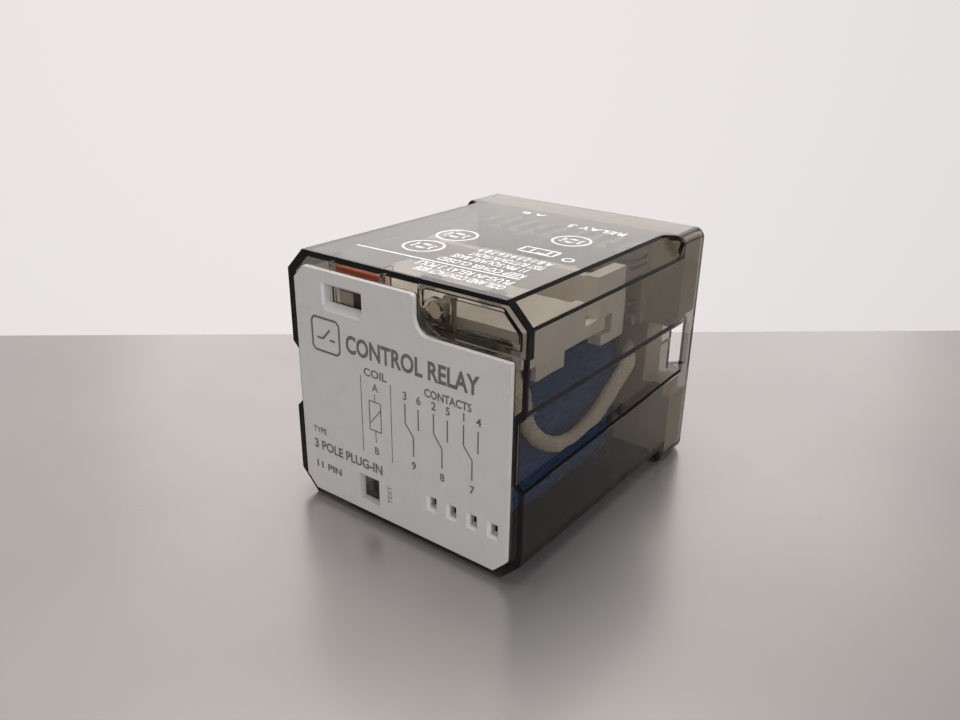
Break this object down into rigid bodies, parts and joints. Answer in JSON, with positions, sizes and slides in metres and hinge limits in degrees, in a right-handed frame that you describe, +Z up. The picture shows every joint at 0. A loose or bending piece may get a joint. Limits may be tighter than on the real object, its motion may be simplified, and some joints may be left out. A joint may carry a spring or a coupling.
{
  "type": "plug-in control relay",
  "caption": "Square-base plug-in power relay with a smoked clear cover, a grey label plate, an indicator flag, a test button and flat plug-in blades.",
  "frame": {"origin": "centre of the overall footprint in plan, on the plane of the cover's long side that it rests on", "axes": "+Y from the label to the plug-in blades, +Z up away from the coil side to the contact side, +X to the right when facing the label"},
  "size_m": [0.0382, 0.0516, 0.0358],
  "materials": {
    "smoked_cover": "clear smoked polycarbonate, polished",
    "label_grey": "fine matt moulded plate",
    "base_beige": "satin moulded thermoset",
    "block_grey": "satin moulded",
    "carrier_cream": "satin moulded",
    "bobbin_dark": "satin moulded",
    "tinned_brass": "tinned, slightly dull",
    "contact_silver": "satin silver alloy",
    "bronze_spring": "rolled phosphor bronze",
    "plated_iron": "zinc plated",
    "spring_steel": "bright drawn",
    "coil_copper": "enamelled copper wire",
    "coil_tape_blue": "polyester film",
    "braid_sleeve": "woven cotton sleeve",
    "lead_red": "PVC sleeve",
    "lead_black": "PVC sleeve",
    "flag_orange": "moulded, coloured upper part",
    "button_cream": "translucent moulded"
  },
  "bodies": {
    "relay_frame": {"base_plate": "base_beige", "bobbin": "bobbin_dark", "braid_1": "braid_sleeve", "braid_2": "braid_sleeve", "braid_3": "braid_sleeve", "coil_lead_a": "lead_red", "coil_lead_b": "lead_black", "coil_tape": "coil_tape_blue", "coil_winding": "coil_copper", "contact_block": "block_grey", "core": "plated_iron", "core_screw": "plated_iron", "cover": "smoked_cover", "hinge_pin": "spring_steel", "label_plate": "label_grey", "nc_contact_1": "contact_silver", "nc_contact_2": "contact_silver", "nc_contact_3": "contact_silver", "no_contact_1": "contact_silver", "no_contact_2": "contact_silver", "no_contact_3": "contact_silver", "return_spring_1": "spring_steel", "return_spring_2": "spring_steel", "terminal_1": "tinned_brass", "terminal_2": "tinned_brass", "terminal_3": "tinned_brass", "terminal_4": "tinned_brass", "terminal_5": "tinned_brass", "terminal_6": "tinned_brass", "terminal_7": "tinned_brass", "terminal_8": "tinned_brass", "terminal_9": "tinned_brass", "terminal_a": "tinned_brass", "terminal_b": "tinned_brass", "yoke": "plated_iron"},
    "armature": {"armature_plate": "plated_iron", "carrier": "carrier_cream", "carrier_rivet_1": "tinned_brass", "carrier_rivet_2": "tinned_brass", "moving_blade_1": "bronze_spring", "moving_blade_2": "bronze_spring", "moving_blade_3": "bronze_spring", "moving_contact_1": "contact_silver", "moving_contact_2": "contact_silver", "moving_contact_3": "contact_silver"},
    "flag": {"indicator_flag": "flag_orange"},
    "button": {"test_button": "button_cream"}
  },
  "joints": [
    {"name": "armature_tilt", "type": "hinge", "parent": "relay_frame", "child": "armature", "pos_m": [0, -0.01905, 0.0231], "axis": [1, 0, 0], "range_deg": [0, 3], "stiffness_Nm_per_rad": 0.2, "springref_deg": -4.58, "deforming": ["return_spring_1", "return_spring_2", "braid_1", "braid_2", "braid_3"]},
    {"name": "flag_slide", "type": "slide", "parent": "relay_frame", "child": "flag", "axis": [0, 0, -1], "range_m": [0, 0.0027]},
    {"name": "button_push", "type": "slide", "parent": "relay_frame", "child": "button", "axis": [0, 1, 0], "range_m": [0, 0.0008]}
  ],
  "couplings": [
    {"joint": "flag_slide", "follows": "armature_tilt", "m_per_rad": 0.05157},
    {"joint": "button_push", "follows": "armature_tilt", "m_per_rad": 0.01528}
  ]
}
